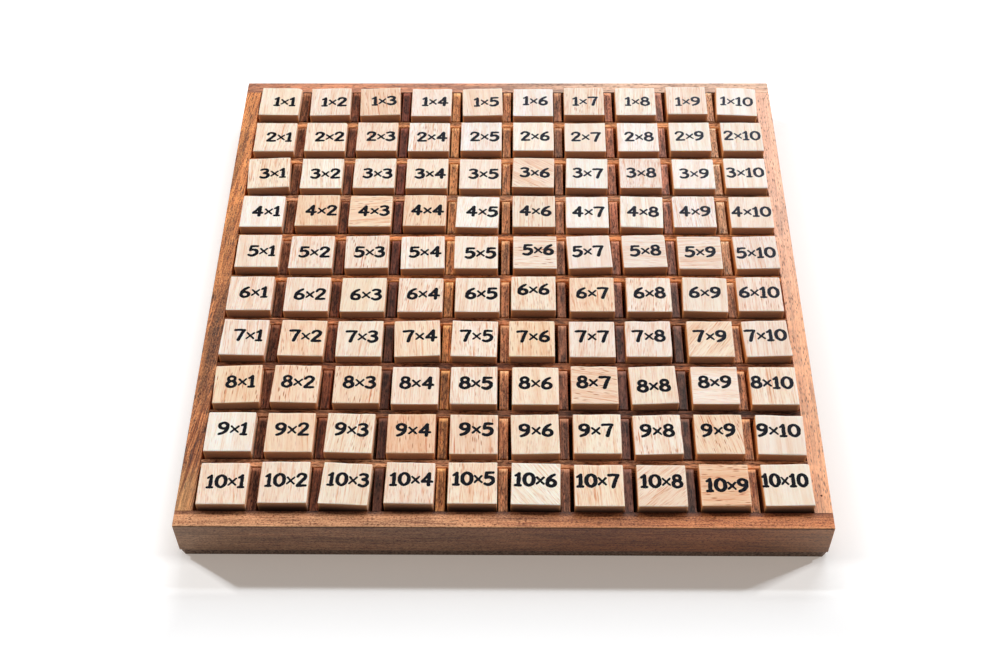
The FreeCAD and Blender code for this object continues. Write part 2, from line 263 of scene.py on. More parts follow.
def rubberwood_grain(tree, grain, tone):
    """Rubberwood cut along the grain, and the height of its fibres."""
    pore_strength = stored(tree, "pores")
    plainness = scaled(tree, pore_strength, 1.0)
    bands = fibre_noise(tree, grain, across=4.0, along=90.0, detail=3.0, warp=0.3)
    band_share = scaled(tree, mask(tree, bands, 0.42, 0.66), 0.5)
    banded = blend(tree, "MULTIPLY", band_share, tone, colour("#f0d2b8"))
    rings = fibre_noise(tree, grain, across=0.8, along=45.0, detail=2.0)
    ring_share = scaled(tree, scaled(tree, mask(tree, rings, 0.53, 0.70), plainness), 0.6)
    ringed = blend(tree, "MULTIPLY", ring_share, banded, colour("#edb889"))
    vein_share = scaled(tree, mask(tree, rings, 0.66, 0.72), scaled(tree, pore_strength, 0.45))
    veined = blend(tree, "MULTIPLY", vein_share, ringed, colour("#e09059"))
    fibres = fibre_noise(tree, grain, across=0.35, along=8.0, detail=2.0)
    fibre_share = scaled(tree, scaled(tree, mask(tree, fibres, 0.50, 0.74), plainness), 0.7)
    fibred = blend(tree, "MULTIPLY", fibre_share, veined, colour("#e39f70"))

    fine = dashes(tree, grain, spacing=1.0, length=6.5, width=0.31, share=0.45)
    coarse = dashes(tree, grain, spacing=1.9, length=9.0, width=0.2, share=0.4)
    pores = calc(tree, "MAXIMUM", fine, coarse)
    shown = scaled(tree, pores, scaled(tree, pore_strength, 0.40))
    pored = blend(tree, "MIX", shown, fibred, colour(RUBBERWOOD_PORE))
    return pored, calc(tree, "SUBTRACT", fibres, pores)


def rubberwood():
    """Sanded bare rubberwood: pale and dull, with short reddish pores along
    the grain and soft growth bands. The sawn ends are darker and warmer, and
    those that look to the front darker still with painted shade. Each tile
    carries its own grain place, tone and pore strength."""
    material, tree, shader = new_material("sanded_rubberwood")
    grain = stored(tree, "grain", "Vector")
    tone = stored(tree, "tone", "Color")
    to_right, to_back, _ = facing(tree)
    long_grain, height = rubberwood_grain(tree, grain, tone)

    # Faces that look to the front or back are sawn ends. The sides that look to
    # the left get a painted orange glow, which the oiled colour holds, and those
    # that look to the right a warm tint painted against the cool light there.
    end_spots = fibre_noise(tree, grain, across=0.5, along=0.5, detail=2.0)
    end_wood = blend(tree, "MIX", end_spots, colour(RUBBERWOOD_END), colour("#986c50"))
    # Ends that look to the back are paled towards the tone, so the ends at the front carry painted
    # shade besides their darker end grain.
    end_wood = blend(tree, "MIX", ramp(tree, to_back, 0.6, 0.9, top=0.35), end_wood, tone)
    leftward = scaled(tree, to_right, -1.0)
    rightward = scaled(tree, to_right, 0.7)
    sanded = blend(tree, "MULTIPLY", rightward, long_grain, colour("#e3b794"))
    oiled = blend(tree, "MULTIPLY", leftward, sanded, colour("#eea763"))
    end_mask = mask(tree, calc(tree, "ABSOLUTE", to_back), 0.75, 0.97)
    sided = blend(tree, "MIX", end_mask, oiled, end_wood)

    # The top's rims get a painted highlight, the arrises of the front and left
    # sides a painted warm glow, and the front and left sides painted shade low
    # down, most of all in the front row.
    highlighted = blend(tree, "SCREEN", scaled(tree, stored(tree, "rim"), 0.5), sided, tone)
    frontward = ramp(tree, to_back, -0.75, -0.97)
    shaded_side = calc(tree, "MAXIMUM", frontward, leftward)
    # Painted warm glow beside the arrises of the front and left sides
    arris_glow = scaled(tree, scaled(tree, stored(tree, "arris"), shaded_side), 0.9)
    arris_glowing = blend(tree, "MIX", arris_glow, highlighted, colour("#ffbe78"))
    _, back, up = axes(tree, own_place(tree))
    # Painted shade low on the front and left sides, deeper in the front row
    lowness = ramp(tree, up, TILE_TOP - 1.1 * MM, RAIL_TOP, easing="SMOOTHSTEP")
    front_row = ramp(tree, back, -4 * PITCH, -4.3 * PITCH, top=0.55)
    painted_shade = calc(tree, "ADD", front_row, 0.1)
    foot_shade = scaled(tree, scaled(tree, lowness, shaded_side), painted_shade)
    finished = blend(tree, "MULTIPLY", foot_shade, arris_glowing, colour("#5c4232"))
    tree.links.new(finished, shader.inputs["Base Color"])
    add_bump(tree, shader, height, strength=0.35, depth=0.08)
    # Light seeps through the pale wood and shows orange beside its arrises.
    set_finish(shader, {
        "Roughness": 0.62, "IOR": 1.5, "Subsurface Weight": 0.3,
        "Subsurface Radius": (1.0, 0.6, 0.35), "Subsurface Scale": 0.8 * MM,
    })
    return material


def rail_marks_and_shade(tree, spot, wood):
    """The left rail's front end is sapwood, crossed by dark slanting lines. The
    front rail's outer face is darkened and greyed with painted shade, less so
    by its two ends, with a painted shade line just under its upper arris, and
    its top has a painted highlight along that arris. Painted shadow of the tiles
    lies on the front rail beside them."""
    rail_low, rail_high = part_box("front_rail")
    right, back, up = axes(tree, spot)
    on_left = calc(tree, "LESS_THAN", right, rail_low.x / 2)
    left_rail = scaled(tree, on_left, calc(tree, "GREATER_THAN", back, rail_high.y))
    sapwood = scaled(tree, ramp(tree, back, -4 * PITCH, -4.4 * PITCH), left_rail)
    wood = blend(tree, "SCREEN", scaled(tree, sapwood, 0.55), wood, colour("#b28a5c"))
    slanted = add(tree, "ShaderNodeMapping", {
        "Vector": spot, "Rotation": (0.0, 0.0, math.radians(7)), "Scale": TO_MM,
    }).outputs["Vector"]
    lines = fibre_noise(tree, slanted, across=1.3, along=60.0, detail=2.0)
    nearer = ramp(tree, back, -2.2 * PITCH, -3.4 * PITCH, top=0.8)
    line_share = scaled(tree, ramp(tree, lines, 0.49, 0.42), scaled(tree, nearer, left_rail))
    wood = blend(tree, "MULTIPLY", line_share, wood, colour("#84583e"))

    # Painted shade on the front faces, lighter by the front rail's two ends
    to_front = ramp(tree, facing(tree)[1], -0.7, -0.9)
    front_shaded = blend(tree, "MIX", scaled(tree, to_front, 0.38), wood, colour("#6c5855"))
    by_ends = ramp(tree, calc(tree, "ABSOLUTE", right), 3.8 * PITCH, rail_high.x, top=0.35)
    front_shaded = blend(tree, "SCREEN", scaled(tree, by_ends, to_front), front_shaded, colour("#b08a66"))
    # Painted shade line just under the upper arris
    under = ramp(tree, up, RAIL_TOP - 0.9 * MM, RAIL_TOP - 0.4 * MM)
    arris_shaded = blend(tree, "MULTIPLY", scaled(tree, under, to_front), front_shaded, colour("#3a2c25"))

    # Painted shadow of the tiles along the front rail's inner edge
    painted_shade = ramp(tree, back, rail_high.y - 2.6 * MM, rail_high.y - 0.3 * MM, top=0.9)
    on_rail = calc(tree, "LESS_THAN", back, rail_high.y + 0.1 * MM)
    tile_shadowed = blend(tree, "MULTIPLY", scaled(tree, painted_shade, on_rail), arris_shaded, colour("#94796c"))
    # Painted highlight along the top's front arris
    on_top = calc(tree, "SUBTRACT", 1.0, to_front)
    outer_highlight = ramp(tree, back, rail_low.y + 1.3 * MM, rail_low.y + 0.3 * MM, top=0.3)
    return blend(tree, "SCREEN", scaled(tree, outer_highlight, on_top), tile_shadowed, colour("#e8a87c"))


def edge_light_and_joint_shade(tree, spot, along_x, middle_line, wood, light):
    """Both long arrises of a strip get a painted highlight in places. A column
    strip gets painted light just in front of each row strip too, where light
    falls between the tiles, more surely towards the front, and painted shade
    lies in the joints beside the row strips."""
    right, back, _ = axes(tree, spot)
    offset = calc(tree, "SUBTRACT", back if along_x else right, middle_line)
    # Painted highlight along both long arrises, in patches
    edge = ramp(tree, calc(tree, "ABSOLUTE", offset), 1.3 * MM, 2.1 * MM)
    patches = fibre_noise(tree, in_mm(tree, spot), across=1.1, along=1.1, detail=3.0, rough=0.7)
    kept = mask(tree, patches, 0.38, 0.54)
    highlighted = scaled(tree, edge, kept)
    if not along_x:
        # Steps from row strip to row strip, each from 0 at a strip's front side
        strip_front, strip_back = (corner.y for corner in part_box("row_strip_01"))
        steps = calc(tree, "DIVIDE", calc(tree, "SUBTRACT", strip_front, back), PITCH)
        step = calc(tree, "FRACT", steps)
        half_pocket = 0.5 - (strip_back - strip_front) / PITCH / 2
        off_middle = calc(tree, "ABSOLUTE", calc(tree, "SUBTRACT", step, half_pocket))
        # Painted shade in the joints beside the row strips
        joint = ramp(tree, off_middle, half_pocket - 0.022, half_pocket - 0.012)
        wood = blend(tree, "MULTIPLY", joint, wood, colour("#4a3226"))
        # Painted light just in front of each row strip, where it falls between the tiles
        before_strip = ramp(tree, step, 0.10, 0.045)
        nearer = ramp(tree, back, 2 * PITCH, -2 * PITCH)
        sure = calc(tree, "MAXIMUM", kept, nearer)
        highlighted = calc(tree, "MAXIMUM", highlighted, scaled(tree, before_strip, sure))
    return blend(tree, "SCREEN", scaled(tree, highlighted, 0.8), wood, light)


# A board's figure: its size across and along the grain in millimetres, how far
# the noise swings from light to dark wood, and how dark and light they are
PLANED_FIGURE = (5.0, 60.0, 0.18, 0.45, 1.5)
SAWN_FIGURE = (2.0, 14.0, 0.12, 0.38, 1.9)


def hardwood(name, along_x, ends, seed, streak_turn=0.0, pore_share=0.5,
             roughness=0.45, shine=0.3, grit=0.6, pore_depth=0.85, streak_depth=0.8,
             contrast=1.0, fleck_length=2.2, pore_stretch=1.0, strip_line=None):
    """Reddish hardwood: streaks of lighter and darker heartwood, with many dark
    open pores along the grain. A rail is planed and thinly oiled, and gets painted
    shade and painted highlights. A strip, which has its middle line given, is sawn,
    with painted highlights along its arrises and painted shade in its joints. The
    ends are the wood's colours at the left or back and at the right or front.
    Grit is the torn, speckled look of grain that comes up to the surface."""
    material, tree, shader = new_material(name)
    spot = own_place(tree)
    right, back, _ = axes(tree, spot)
    if along_x:
        onward = ramp(tree, right, -PITCH, 1.5 * PITCH)
    else:
        onward = ramp(tree, back, 1.5 * PITCH, -PITCH)

    def tint(factor):
        return blend(tree, "MIX", onward, shade(ends[0], factor), shade(ends[1], factor))

    # Each seed takes its wood from another place in the plank.
    place = add(tree, "ShaderNodeMapping", {
        "Vector": spot, "Scale": TO_MM,
        "Location": (37.0 * seed, 91.0 * seed, 13.0 * seed),
        "Rotation": (0.0, 0.0, math.radians((90 if along_x else 0) + streak_turn)),
    }, vector_type="POINT").outputs["Vector"]

    sawn = strip_line is not None
    across, along, swing, darkest, lightest = SAWN_FIGURE if sawn else PLANED_FIGURE
    figure = fibre_noise(tree, place, across, along, detail=5.0, rough=0.6, warp=0.6)
    darker = ramp(tree, figure, 0.5, 0.5 - swing, top=contrast)
    lighter = ramp(tree, figure, 0.5, 0.5 + swing, top=contrast)
    base = blend(tree, "MIX", darker, tint(1.0), tint(darkest))
    base = blend(tree, "MIX", lighter, base, tint(lightest))
    streaks = fibre_noise(tree, place, across=0.6, along=22.0, detail=4.0, rough=0.65)
    streak_share = scaled(tree, mask(tree, streaks, 0.47, 0.66), streak_depth)
    streaked = blend(tree, "MULTIPLY", streak_share, base, colour("#94644a"))
    flecks = fibre_noise(tree, place, across=0.6, along=fleck_length, detail=3.0, rough=0.7)
    fleck_share = scaled(tree, mask(tree, flecks, 0.52, 0.66), 0.6 * grit)
    flecked = blend(tree, "SCREEN", fleck_share, streaked, tint(1.1))
    speck_share = scaled(tree, mask(tree, flecks, 0.34, 0.46, falling=True), grit)
    specked = blend(tree, "MULTIPLY", speck_share, flecked, colour("#7a4d38"))

    fine = dashes(tree, place, spacing=0.75, length=3.6 * pore_stretch, width=0.36,
                  share=pore_share)
    coarse = dashes(tree, place, spacing=1.6, length=6.0 * pore_stretch, width=0.24,
                    share=pore_share * 0.8)
    pores = calc(tree, "MAXIMUM", fine, coarse)
    pored = blend(tree, "MIX", scaled(tree, pores, pore_depth), specked, tint(0.09))
    if sawn:
        finished = edge_light_and_joint_shade(tree, spot, along_x, strip_line, pored, tint(1.7))
    else:
        finished = rail_marks_and_shade(tree, spot, pored)
    tree.links.new(finished, shader.inputs["Base Color"])
    add_bump(tree, shader, calc(tree, "SUBTRACT", streaks, pores), strength=0.6, depth=0.15)
    set_finish(shader, {"Roughness": roughness, "IOR": 1.5, "Specular IOR Level": shine})
    return material


def stained_plywood():
    """Stained thin plywood: a streaked dull brown, with no shine."""
    material, tree, shader = new_material("stained_plywood")
    fibres = fibre_noise(tree, in_mm(tree, own_place(tree)), across=1.2, along=26.0,
                         detail=4.0, rough=0.6)
    base = add(tree, "ShaderNodeValToRGB", {"Fac": fibres}, stops=(
        (0.35, colour("#5c4436")), (0.5, colour("#84654f")), (0.65, colour("#a1806a")),
    )).outputs["Color"]
    tree.links.new(base, shader.inputs["Base Color"])
    set_finish(shader, {"Roughness": 0.7})
    return material


def printing_ink():
    """Black screen-printing ink: dull, near black, a little thin in places so
    that the wood greys it."""
    material, tree, shader = new_material("black_printing_ink")
    spot = own_place(tree)
    thin = fibre_noise(tree, in_mm(tree, spot), across=0.45, along=0.9, detail=3.0)
    black = add(tree, "ShaderNodeValToRGB", {"Fac": thin}, stops=(
        (0.45, colour(INK)), (0.72, colour(INK_THIN)),
    )).outputs["Color"]
    # The prints towards the right back quarter are greyed: painted sheen of the light behind.
    diagonal = add(tree, "ShaderNodeVectorMath", {
        0: spot, 1: (0.7, 0.7, 0.0),
    }, operation="DOT_PRODUCT").outputs["Value"]
    sheened = blend(tree, "MIX", ramp(tree, diagonal, 0.0, 170 * MM), black, colour(INK_SHEEN))
    tree.links.new(sheened, shader.inputs["Base Color"])
    set_finish(shader, {"Roughness": 0.8, "Specular IOR Level": 0.08})
    return material


# Tiles

def read_tiles():
    """Each tile's centre and turn, and the tiles' side, from the frame."""
    tiles = {}
    side = 0.0
    for row, node in enumerate(TILE_ROWS, start=1):
        corners = np.array([vertex.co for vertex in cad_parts[node].data.vertices])
        column_of = np.floor(corners[:, 0] / PITCH + PER_SIDE / 2).astype(int) + 1
        for column in range(1, PER_SIDE + 1):
            own = corners[column_of == column]
            low, high = own.min(0), own.max(0)
            centre = (low + high)[:2] / 2
            top = own[own[:, 2] > TILE_TOP - 1e-6][:, :2] - centre
            # The corner in the right back quarter lies at 45 degrees and the turn.
            corner = top[(top[:, 0] > 0) & (top[:, 1] > 0)][0]
            turn = math.atan2(corner[1], corner[0]) - math.pi / 4
            tiles[row, column] = (centre, turn)
            width = (high - low)[0]
            side = max(side, width / (math.cos(turn) + abs(math.sin(turn))))
    return tiles, side


def line_places(size, near_edges, between):
    """Places of grid lines from 0 to size, close together by both ends."""
    far_edges = [size - edge for edge in reversed(near_edges)]
    return np.array([*near_edges, *between, *far_edges])


def box_surface(xs, ys, zs):
    """The welded grid on the surface of a box: vertices and four-sided faces."""
    shape = (len(xs), len(ys), len(zs))
    number = {}
    vertices = []

    def corner(*steps):
        if steps not in number:
            number[steps] = len(vertices)
            vertices.append((xs[steps[0]], ys[steps[1]], zs[steps[2]]))
        return number[steps]

    faces = []
    for axis in range(3):
        first, second = [other for other in range(3) if other != axis]
        for end in (0, shape[axis] - 1):
            for a in range(shape[first] - 1):
                for b in range(shape[second] - 1):
                    ring = []
                    for da, db in ((0, 0), (1, 0), (1, 1), (0, 1)):
                        steps = [0, 0, 0]
                        steps[axis] = end
                        steps[first] = a + da
                        steps[second] = b + db
                        ring.append(corner(*steps))
                    outward = (axis != 1) == (end > 0)
                    faces.append(ring if outward else ring[::-1])
    return np.array(vertices), faces


def rounded(points, low, high, radius):
    """Rounds a box's surface points by a radius that may differ from point to
    point."""
    radius = radius[:, None]
    inner = np.clip(points, low + radius, high - radius)
    reach = points - inner
    length = np.linalg.norm(reach, axis=1, keepdims=True)
    return inner + reach / np.maximum(length, 1e-12) * radius


def smooth_noise(points, seed, size):
    """Gentle waves, about -1 to 1, over points; size is their rough length."""
    draw = random.Random(seed)
    total = np.zeros(len(points))
    for _ in range(5):
        direction = np.array([draw.gauss(0, 1) for _ in range(3)])
        total += np.sin(points @ direction * (2.2 / size) + draw.uniform(0, 6.28))
    return total / 2.5


# Knocks on the tiles' top edges: tile, then the spot as shares of the side
# from the left and the front, the depth and the reach in millimetres
KNOCKS = (
    ((1, 1), (1.0, 1.0), 1.3, 1.2),
    ((10, 3), (0.55, 1.0), 0.5, 0.9),
    ((10, 4), (0.75, 0.0), 0.5, 0.7),
    ((9, 3), (0.62, 1.0), 0.5, 1.2),
    ((4, 9), (0.0, 1.0), 0.7, 0.8),
    ((6, 5), (1.0, 0.0), 0.6, 0.8),
    ((7, 7), (0.3, 0.0), 0.4, 0.8),
    ((2, 2), (1.0, 1.0), 0.6, 0.8),
    ((5, 8), (1.0, 1.0), 0.7, 0.8),
    ((10, 10), (1.0, 1.0), 0.6, 0.9),
)
# How far the tiles' edges are eased, by which share that comes and goes, over
# which length, and the least and the most of it
EASE_MM = 0.5
EASE_SWING = 0.45
EASE_WAVE_MM = 6.0
EASE_LIMITS_MM = (0.12, 2.2)


def tile_points(grid, side, height, tile, seed):
    """One tile's surface in millimetres, its edges eased unevenly by use."""
    radius = EASE_MM * (1 + EASE_SWING * smooth_noise(grid, seed, EASE_WAVE_MM))
    for owner, (to_right, to_back), depth, reach in KNOCKS:
        if owner == tile:
            spot = np.array([(to_right - 0.5) * side, (to_back - 0.5) * side, height])
            away = np.linalg.norm(grid - spot, axis=1)
            radius += depth * np.exp(-((away / reach) ** 2) / 2)
    radius = np.clip(radius, *EASE_LIMITS_MM)
    low = np.array([-side / 2, -side / 2, 0.0])
    high = np.array([side / 2, side / 2, height])
    return rounded(grid, low, high, radius)


# How broad the painted highlight round a tile's top is, and the painted warm
# glow by the arrises of its sides
RIM_MM = 1.1
ARRIS_MM = 1.2


def rim_share(grid, side, height):
    """How near each point lies to the rim of the top: 1 at the rim itself."""
    inward = side / 2 - np.abs(grid[:, :2]).max(axis=1)
    near = np.clip(1 - inward / RIM_MM, 0, 1)
    return np.where(grid[:, 2] > height - 0.3, near, 0.0)


def arris_share(grid, side, height):
    """How near each point of the sides lies to an upright or an upper arris."""
    inward = side / 2 - np.abs(grid[:, :2])
    near = np.minimum(inward.max(axis=1), height - grid[:, 2])
    share = np.clip(1 - near / ARRIS_MM, 0, 1)
    return np.where(grid[:, 2] > height - 0.05, 0.0, share)


def grain_place(points, turn, draw):
    """Points as they lie in the plank that the tile was sawn from: across the
    grain, along it, and through the plank."""
    lean = math.radians(draw.uniform(-4, 4))
    around = Euler((lean, 0, -turn)).to_matrix()
    shift = np.array([draw.uniform(-900, 900) for _ in range(3)])
    return points @ np.array(around).T + shift


def tone_of(tile, draw):
    """The tile's wood colour: its named tone, with a small shift of its own."""
    name = next((tone for tone, owners in TONES.items() if tile in owners), "cream")
    wood = np.array(colour(TILE_TONES[name]))
    wood[:3] *= 1 + draw.uniform(-0.035, 0.02)
    wood[2] *= 1 + draw.uniform(-0.07, 0.02)
    # Towards the right back corner the tiles are a little cooler: painted sheen
    # of the light behind.
    row, column = tile
    wood[:2] *= 1 - 0.05 * min(max((column - row + 1) / 5, 0), 1)
    return wood


def put(name, data):
    """Puts an object with this data into the scene."""
    piece = bpy.data.objects.new(name, data)
    bpy.context.scene.collection.objects.link(piece)
    return piece


def make_mesh(name, vertices, faces, material, smooth=True):
    """An object of one mesh and one material."""
    mesh = bpy.data.meshes.new(name)
    mesh.from_pydata([tuple(vertex) for vertex in vertices], [], faces)
    mesh.materials.append(material)
    if smooth:
        mesh.shade_smooth()
    return put(name, mesh)


def store(mesh, name, kind, values):
    """Keeps a value for each vertex, for the material to read."""
    attribute = mesh.attributes.new(name, kind, "POINT")
    field = {"FLOAT": "value", "FLOAT_VECTOR": "vector", "FLOAT_COLOR": "color"}[kind]
    attribute.data.foreach_set(field, np.asarray(values, np.float32).ravel())


# Where a tile's mesh has its lines, in millimetres: in from each edge of the
# top, between those, and up from the foot
LINES_BY_EDGE = (0.0, 0.1, 0.22, 0.38, 0.62, 1.1, 2.2)
LINES_BETWEEN = (5.0, 8.5, 11.5, 14.5, 18.0)
LOW_LEVELS = (0.0, 0.3, 12.0)


def make_tiles(tiles, side, material):
    """A piece for each row of ten tiles, in place of the frame's plain ones."""
    side_mm = side / MM
    height_mm = (TILE_TOP - TILE_FOOT) / MM
    plan = line_places(side_mm, LINES_BY_EDGE, LINES_BETWEEN) - side_mm / 2
    levels = np.array([*LOW_LEVELS, *(height_mm - edge for edge in reversed(LINES_BY_EDGE))])
    grid, faces = box_surface(plan, plan, levels)
    count = len(grid)
    rims = rim_share(grid, side_mm, height_mm)
    arrises = arris_share(grid, side_mm, height_mm)
    for row, node in enumerate(TILE_ROWS, start=1):
        points, grains, tones, pores, all_faces = [], [], [], [], []
        for column in range(1, PER_SIDE + 1):
            tile = (row, column)
            centre, turn = tiles[tile]
            seed = 100 * row + column
            draw = random.Random(seed)
            shape = tile_points(grid, side_mm, height_mm, tile, seed)
            grain_turn = math.radians(GRAIN_TURNS.get(tile, draw.uniform(-6, 6)))
            grains.append(grain_place(shape, grain_turn, draw))
            tones.append(np.tile(tone_of(tile, draw), (count, 1)))
            pores.append(np.full(count, PLAIN_PORES.get(tile, draw.uniform(0.5, 1.1))))
            spin = np.array([[math.cos(turn), math.sin(turn)], [-math.sin(turn), math.cos(turn)]])
            placed = shape * MM
            placed[:, :2] = placed[:, :2] @ spin + centre
            placed[:, 2] += TILE_FOOT
            offset = len(points) * count
            points.append(placed)
            all_faces += [[corner + offset for corner in face] for face in faces]
        piece = make_mesh(f"rubberwood_{node}", np.vstack(points), all_faces, material)
        store(piece.data, "grain", "FLOAT_VECTOR", np.vstack(grains))
        store(piece.data, "tone", "FLOAT_COLOR", np.vstack(tones))
        store(piece.data, "pores", "FLOAT", np.concatenate(pores))
        store(piece.data, "rim", "FLOAT", np.tile(rims, PER_SIDE))
        store(piece.data, "arris", "FLOAT", np.tile(arrises, PER_SIDE))
        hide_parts(node)
        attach(piece, "root")


# Printed sums. A figure has a width and round-ended strokes of changing width.
# A stroke is a line of (across, up, width), in shares of the figure's height.

STROKES = {
    "0": (0.71, [("ring", [(0.355, 0.91, 0.17), (0.60, 0.72, 0.21), (0.605, 0.30, 0.21),
                           (0.355, 0.09, 0.17), (0.105, 0.30, 0.21), (0.11, 0.72, 0.21)])]),
    "1": (0.42, [("line", [(0.26, 0.89, 0.17), (0.25, 0.50, 0.21), (0.24, 0.09, 0.20)]),
                 ("line", [(0.26, 0.90, 0.17), (0.17, 0.81, 0.17), (0.06, 0.75, 0.14)]),
                 ("line", [(0.06, 0.075, 0.15), (0.37, 0.075, 0.15)])]),
    "2": (0.67, [("line", [(0.08, 0.74, 0.17), (0.17, 0.88, 0.17), (0.36, 0.92, 0.17),
                           (0.54, 0.80, 0.20), (0.50, 0.60, 0.21), (0.31, 0.37, 0.20),
                           (0.11, 0.12, 0.18)]),
                 ("line", [(0.10, 0.09, 0.17), (0.36, 0.09, 0.17), (0.60, 0.10, 0.16)])]),
    "3": (0.66, [("line", [(0.08, 0.85, 0.15), (0.28, 0.92, 0.17), (0.49, 0.83, 0.20),
                           (0.46, 0.64, 0.19), (0.26, 0.54, 0.17)]),
                 ("line", [(0.26, 0.54, 0.17), (0.48, 0.48, 0.20), (0.56, 0.29, 0.21),
                           (0.42, 0.11, 0.20), (0.22, 0.08, 0.18), (0.06, 0.16, 0.16)])]),
    "4": (0.75, [("line", [(0.49, 0.90, 0.19), (0.30, 0.62, 0.17), (0.09, 0.37, 0.16)]),
                 ("line", [(0.09, 0.34, 0.17), (0.40, 0.34, 0.18), (0.67, 0.34, 0.16)]),
                 ("line", [(0.50, 0.90, 0.20), (0.49, 0.50, 0.21), (0.47, 0.09, 0.20)])]),
    "5": (0.67, [("line", [(0.17, 0.90, 0.17), (0.38, 0.91, 0.17), (0.58, 0.91, 0.15)]),
                 ("line", [(0.18, 0.90, 0.18), (0.15, 0.72, 0.18), (0.13, 0.55, 0.17)]),
                 ("line", [(0.13, 0.54, 0.16), (0.34, 0.60, 0.19), (0.54, 0.50, 0.21),
                           (0.56, 0.27, 0.21), (0.38, 0.09, 0.20), (0.20, 0.07, 0.18),
                           (0.07, 0.13, 0.16)])]),
    "6": (0.67, [("line", [(0.52, 0.90, 0.15), (0.31, 0.76, 0.19), (0.15, 0.54, 0.21),
                           (0.11, 0.34, 0.20)]),
                 ("ring", [(0.345, 0.51, 0.17), (0.55, 0.40, 0.20), (0.55, 0.19, 0.20),
                           (0.34, 0.08, 0.18), (0.12, 0.19, 0.20), (0.13, 0.40, 0.19)])]),
    "7": (0.71, [("line", [(0.07, 0.89, 0.17), (0.35, 0.91, 0.17), (0.64, 0.90, 0.16)]),
                 ("line", [(0.62, 0.88, 0.17), (0.47, 0.55, 0.20), (0.34, 0.09, 0.21)])]),
    "8": (0.66, [("ring", [(0.33, 0.92, 0.17), (0.51, 0.82, 0.18), (0.50, 0.63, 0.18),
                           (0.33, 0.55, 0.17), (0.16, 0.63, 0.18), (0.15, 0.82, 0.18)]),
                 ("ring", [(0.33, 0.54, 0.17), (0.55, 0.41, 0.20), (0.55, 0.20, 0.20),
                           (0.33, 0.08, 0.17), (0.11, 0.20, 0.20), (0.11, 0.41, 0.20)])]),
    "9": (0.67, [("ring", [(0.33, 0.92, 0.17), (0.54, 0.80, 0.20), (0.53, 0.59, 0.19),
                           (0.33, 0.49, 0.17), (0.12, 0.60, 0.20), (0.12, 0.81, 0.20)]),
                 ("line", [(0.56, 0.70, 0.20), (0.53, 0.42, 0.21), (0.36, 0.19, 0.20),
                           (0.12, 0.08, 0.16)])]),
    "x": (0.56, [("line", [(0.07, 0.23, 0.12), (0.28, 0.45, 0.13), (0.49, 0.68, 0.12)]),
                 ("line", [(0.07, 0.68, 0.12), (0.28, 0.45, 0.13), (0.49, 0.23, 0.12)])]),
}
FIGURE_HEIGHT_MM = 7.75
# How much wider the figures are than drawn
FIGURE_STRETCH = 1.05
# The gaps between figures and inside a ten, in shares of the figures' height
FIGURE_GAP = 0.05
TEN_GAP = 0.10
# How much narrower the figures are in sums with one and with two tens
TEN_TIMES_SQUEEZE = 0.93
TIMES_TEN_SQUEEZE = 0.98
TWO_TENS_SQUEEZE = 0.81
# The grid on which the ink is worked out, the margin round it, and how deep
# and long the waves of its ragged rims are, in shares of the figures' height
INK_GRID = 0.02
INK_MARGIN = 0.12
RAG_DEPTH = 0.009
RAG_LENGTH = 0.12
# The skin of ink, and how far it stands proud of the wood
INK_DEPTH = 0.05 * MM
INK_PROUD = 0.015 * MM

# Prints that took more ink, and how heavy the usual and these strokes are
HEAVY_PRINTS = ((3, 4), (4, 4), (5, 5), (5, 6), (6, 5), (8, 5), (8, 7), (8, 8),
                (9, 5), (10, 5), (10, 6), (10, 7), (10, 9))
PRINT_WEIGHT = 1.15
HEAVY_WEIGHT = 1.22
# How far the prints sit right of their tile's middle by column, and back of it
# by row, in mm
PRINT_RIGHT = (2.5, 2.2, 2.2, 2.1, 2.0, 1.4, 0.9, 1.0, 0.9, 0.4)
PRINT_BACK = (0.0, 0.2, 0.1, 0.2, 0.3, 1.0, 1.6, 1.6, 2.1, 2.2)
# What comes on top in the first row and column, and with each further row to
# the right and with each further column to the back, in mm
FIRST_SHIFT = (-0.05, -0.34)
RIGHT_BY_ROW = -0.14
BACK_BY_COLUMN = 0.075
# Prints that sit away from the run of the others: right and back, in mm
STRAY_PRINTS = {(5, 6): (0.9, 1.4), (6, 6): (-0.6, 1.6), (8, 8): (0.0, -2.3),
                (10, 9): (1.4, -2.6), (9, 5): (0.3, 0.8), (4, 5): (0.8, 0.3),
                (1, 6): (0.0, 1.4), (1, 3): (0.0, 0.8), (1, 4): (0.0, 0.8),
                (5, 5): (0.9, -0.8), (6, 5): (0.7, 0.0), (6, 2): (0.0, -0.8),
                (6, 3): (0.0, -0.8), (10, 1): (0.0, -0.8), (10, 2): (0.0, -0.8),
                (2, 9): (-0.8, 0.0), (5, 7): (-0.9, 0.0), (1, 9): (0.0, -1.0),
                (5, 10): (0.0, -0.9)}


def curve_points(kind, points, steps=14):
    """A smooth line through the points, closed for a ring."""
    points = np.array(points)
    if kind == "ring":
        padded = np.vstack([points[-1], points, points[:2]])
    else:
        padded = np.vstack([2 * points[0] - points[1], points, 2 * points[-1] - points[-2]])
    out = []
    for before, start, end, after in zip(padded, padded[1:], padded[2:], padded[3:]):
        for step in range(steps):
            t = step / steps
            out.append(0.5 * (
                2 * start + (end - before) * t
                + (2 * before - 5 * start + 4 * end - after) * t ** 2
                + (3 * start - before - 3 * end + after) * t ** 3
            ))
    if kind == "line":
        out.append(points[-1])
    return np.array(out)


